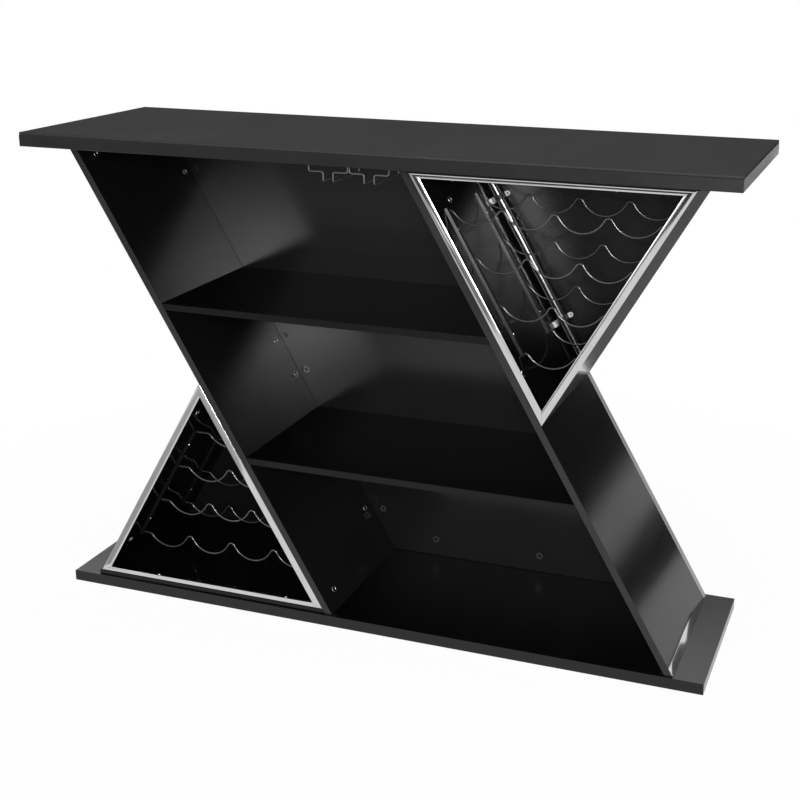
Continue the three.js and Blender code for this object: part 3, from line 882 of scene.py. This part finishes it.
for number, (y, z) in enumerate(LEFT_CAMS, 1):
    spot = left_inner(y, z)
    cam("left_cam_%d" % number, spot, RISING_RIGHT)
    cam("right_cam_%d" % number, half_turn(spot), -RISING_RIGHT)
for number, (x, z) in enumerate(BACK_CAMS, 1):
    cam("back_cam_%d" % number, (x, BACK_FACE, z), TO_SERVER)
for number, (y, z) in enumerate(WING_CAMS, 1):
    spot = np.array([-wing_face_x(TURN_LEVEL - z, PANEL), y, z])
    cam("lower_wing_cam_%d" % number, spot, FALLING_RIGHT)
    cam("upper_wing_cam_%d" % number, half_turn(spot), -FALLING_RIGHT)
bay_y, bay_z = BAY_CAM
bay_spot = np.array([side_face_x(bay_z), bay_y, bay_z])
cam("upper_bay_cam", bay_spot, RISING_RIGHT)
cam("lower_bay_cam", half_turn(bay_spot), -RISING_RIGHT)

frame_middle = FRONT + FRAME_SCREW_DEPTH
bar_run = FRAME_LEVEL - TURN_LEVEL / 2.0
rail_start = FOOT_REACH - RAIL_SCREW_START
for number, share in enumerate(FRAME_SCREW_SHARES, 1):
    z = FRAME_LEVEL - share * bar_run
    on_bar = np.array([side_face_x(z, FRAME_WIDTH), frame_middle, z])
    screw("upper_bar_screw_%d" % number, on_bar, RISING_RIGHT)
    screw("lower_bar_screw_%d" % number, half_turn(on_bar), -RISING_RIGHT)
    rail_x = rail_start - share * RAIL_SCREW_RUN
    on_rail = np.array([rail_x, frame_middle, FRAME_LEVEL - RAIL_HEIGHT])
    screw("upper_rail_screw_%d" % number, on_rail, (0.0, 0.0, -1.0))
    screw("lower_rail_screw_%d" % number, half_turn(on_rail), (0.0, 0.0, 1.0))


def strip_height(troughs, share):
    """Height on a bay's rack strips, by its share of the way down from their upper ends."""
    high = max(troughs) + WAVE_END_RISE + STRIP_END
    low = min(troughs) + WAVE_END_RISE - STRIP_END
    return high - share * (high - low)


for depth, y in RACK_DEPTHS.items():
    for number, share in enumerate(STRIP_SCREW_SHARES, 1):
        z = strip_height(upper_troughs, share)
        left = np.array([side_face_x(z, STRIP_FACE), y, z])
        right = np.array([wing_face_x(z, PANEL + STRIP_FACE), y, z])
        screw("upper_%s_left_strip_screw_%d" % (depth, number), left, RISING_RIGHT)
        screw("upper_%s_right_strip_screw_%d" % (depth, number), right, -FALLING_RIGHT)
        z = strip_height(lower_troughs, share)
        left = np.array([-wing_face_x(TURN_LEVEL - z, PANEL + STRIP_FACE), y, z])
        right = np.array([-side_face_x(TURN_LEVEL - z, STRIP_FACE), y, z])
        screw("lower_%s_left_strip_screw_%d" % (depth, number), left, FALLING_RIGHT)
        screw("lower_%s_right_strip_screw_%d" % (depth, number), right, -RISING_RIGHT)


# Camera, light and floor

def place_camera():
    """The photograph's camera: a level heading and tilt, with a slight roll."""
    heading, tilt, roll = 0.346026, 0.294726, 0.005397
    forward = np.array([
        -math.sin(heading) * math.cos(tilt), math.cos(heading) * math.cos(tilt), -math.sin(tilt),
    ])
    right = np.array([math.cos(heading), math.sin(heading), 0.0])
    up = np.cross(right, forward)
    rolled_right = math.cos(roll) * right + math.sin(roll) * up
    rolled_up = -math.sin(roll) * right + math.cos(roll) * up
    place = np.array([1.09555, -2.67612, 1.46671])
    turn = np.eye(4)
    turn[:3, 0] = rolled_right
    turn[:3, 1] = rolled_up
    turn[:3, 2] = -forward
    turn[:3, 3] = place
    lens = bpy.data.cameras.new("photo_camera")
    lens.sensor_width = 36.0
    lens.lens = 61.42
    lens.shift_x = -0.0658
    lens.shift_y = -0.0593
    camera = bpy.data.objects.new("photo_camera", lens)
    camera.matrix_world = Matrix(turn.tolist())
    bpy.context.scene.collection.objects.link(camera)
    bpy.context.scene.camera = camera


def seen_directly(nodes, links):
    """1 for rays from the camera, a mirror or clear material, else 0."""
    path = nodes.new("ShaderNodeLightPath")
    camera, glossy = path.outputs["Is Camera Ray"], path.outputs["Is Glossy Ray"]
    either = math_node(nodes, links, "MAXIMUM", camera, glossy)
    return math_node(nodes, links, "MAXIMUM", either, path.outputs["Is Transmission Ray"])


def light_world(fill):
    """A white surround to look at, and a softer one as fill light."""
    world = bpy.data.worlds.new("studio")
    world.use_nodes = True
    nodes, links = world.node_tree.nodes, world.node_tree.links
    background = nodes["Background"]
    background.inputs["Color"].default_value = (1.0, 1.0, 1.0, 1.0)
    seen = seen_directly(nodes, links)
    share = math_node(nodes, links, "MULTIPLY", seen, 1.0 - fill)
    links.new(math_node(nodes, links, "ADD", share, fill), background.inputs["Strength"])
    bpy.context.scene.world = world


def soft_lamp(name, place, aim, width, height, power):
    """A rectangular soft lamp that faces a point."""
    data = bpy.data.lights.new(name, "AREA")
    data.shape = "RECTANGLE"
    data.size = width
    data.size_y = height
    data.energy = power
    lamp = bpy.data.objects.new(name, data)
    way = unit(np.asarray(aim) - np.asarray(place))
    across = unit(np.cross(way, (0.0, 0.0, 1.0)))
    turn = np.eye(4)
    turn[:3, 0] = across
    turn[:3, 1] = np.cross(across, way)
    turn[:3, 2] = -way
    turn[:3, 3] = place
    lamp.matrix_world = Matrix(turn.tolist())
    bpy.context.scene.collection.objects.link(lamp)


def lay_floor():
    """A pale round floor: rings run from 0 to its edge, and far out it fades into the surround."""
    rings, steps, edge, level = 24, 64, 9.0, -0.0006
    reach = np.linspace(0.0, edge, rings)[:, None]
    angle = np.linspace(0.0, 2.0 * np.pi, steps, endpoint=False)[None, :]
    x, y = reach * np.cos(angle), reach * np.sin(angle)
    points = np.stack([x, y, np.full_like(x, level)], axis=-1)
    ring, step = np.meshgrid(np.arange(rings - 1) * steps, np.arange(steps), indexing="ij")
    after = (step + 1) % steps
    corners = [ring + step, ring + steps + step, ring + steps + after, ring + after]
    faces = np.stack(corners, axis=-1).reshape(-1, 4)
    mesh = bpy.data.meshes.new("studio_floor")
    mesh.from_pydata(points.reshape(-1, 3).tolist(), [], faces.tolist())
    floor = bpy.data.objects.new("studio_floor", mesh)
    bpy.context.scene.collection.objects.link(floor)
    material = bpy.data.materials.new("pale_floor")
    material.use_nodes = True
    nodes, links = material.node_tree.nodes, material.node_tree.links
    matt = nodes.new("ShaderNodeBsdfDiffuse")
    matt.inputs["Color"].default_value = (0.82, 0.82, 0.82, 1.0)
    glow = nodes.new("ShaderNodeEmission")
    distance = nodes.new("ShaderNodeVectorMath")
    distance.operation = "LENGTH"
    links.new(nodes.new("ShaderNodeTexCoord").outputs["Object"], distance.inputs[0])
    fade = nodes.new("ShaderNodeMapRange")
    fade.inputs["From Min"].default_value = 0.7
    fade.inputs["From Max"].default_value = 1.7
    fade.inputs["To Min"].default_value = 0.96
    fade.inputs["To Max"].default_value = 1.0
    links.new(distance.outputs["Value"], fade.inputs["Value"])
    share = math_node(nodes, links, "MULTIPLY", fade.outputs["Result"], seen_directly(nodes, links))
    blend = nodes.new("ShaderNodeMixShader")
    links.new(share, blend.inputs["Fac"])
    links.new(matt.outputs["BSDF"], blend.inputs[1])
    links.new(glow.outputs["Emission"], blend.inputs[2])
    links.new(blend.outputs["Shader"], nodes["Material Output"].inputs["Surface"])
    mesh.materials.append(material)


def hang_drape(name, cloth, start, end):
    """A studio drape or mat between two opposite corners, in metres.

    The point at the shares u and v lies u of the way along x and v of the way along y and z.
    The camera doesn't see it: polished faces do.
    """
    columns, rows = 9, 5
    across, up = np.linspace(0.0, 1.0, columns), np.linspace(0.0, 1.0, rows)
    u, v = np.meshgrid(across, up, indexing="ij")
    start, way = np.array(start), np.subtract(end, start)
    points = start + np.stack([u, v, v], axis=-1) * way
    column, row = np.meshgrid(np.arange(columns - 1), np.arange(rows - 1), indexing="ij")
    first = column * rows + row
    faces = np.stack([first, first + rows, first + rows + 1, first + 1], axis=-1).reshape(-1, 4)
    mesh = bpy.data.meshes.new(name)
    mesh.from_pydata(points.reshape(-1, 3).tolist(), [], faces.tolist())
    mesh.materials.append(cloth)
    drape = bpy.data.objects.new(name, mesh)
    drape.visible_camera = False
    drape.visible_shadow = False
    bpy.context.scene.collection.objects.link(drape)


def drape_finish(name, shade):
    """Felt for the drapes, with a soft mottle from the wipe marks."""
    look = Finish(name)
    marks = look.group(handling_marks, Marks_per_metre=1.5)
    look.feed(look.blend(marks["Wipe"], grey(shade * 0.8), grey(shade * 1.2)), "Base Color")
    look.set(Roughness=0.95, Specular_IOR_Level=0.1)
    return look.material


dark_felt = drape_finish("dark_felt", 0.05)
grey_felt = drape_finish("grey_felt", 0.2)
pale_felt = drape_finish("pale_felt", 0.55)

place_camera()
light_world(0.4)
soft_lamp("key", (1.3, -3.3, 1.65), (-0.1, 0.0, 0.65), 0.7, 0.95, 145.0)
soft_lamp("left_fill", (-2.8, -2.4, 2.0), (0.0, 0.0, 0.6), 1.4, 1.4, 15.0)
hang_drape("left_drape", dark_felt, (-7.0, 3.2, 1.0), (1.55, 3.2, 1.7))
hang_drape("right_drape", dark_felt, (1.55, 3.2, 0.29), (6.0, 3.2, 1.2))
hang_drape("left_mat", grey_felt, (-7.0, 1.55, 0.01), (0.9, 5.0, 0.01))
hang_drape("right_mat", dark_felt, (0.9, 1.5, 0.01), (5.0, 4.6, 0.01))
hang_drape("near_mat", grey_felt, (-6.0, -3.9, 0.01), (-0.45, -2.5, 0.01))
hang_drape("front_mat", pale_felt, (-3.0, -1.7, 0.01), (-0.7, -0.27, 0.01))
hang_drape("far_mat", dark_felt, (-8.0, -9.0, 0.01), (0.6, -4.75, 0.01))
lay_floor()

bpy.context.scene.view_settings.view_transform = "Standard"
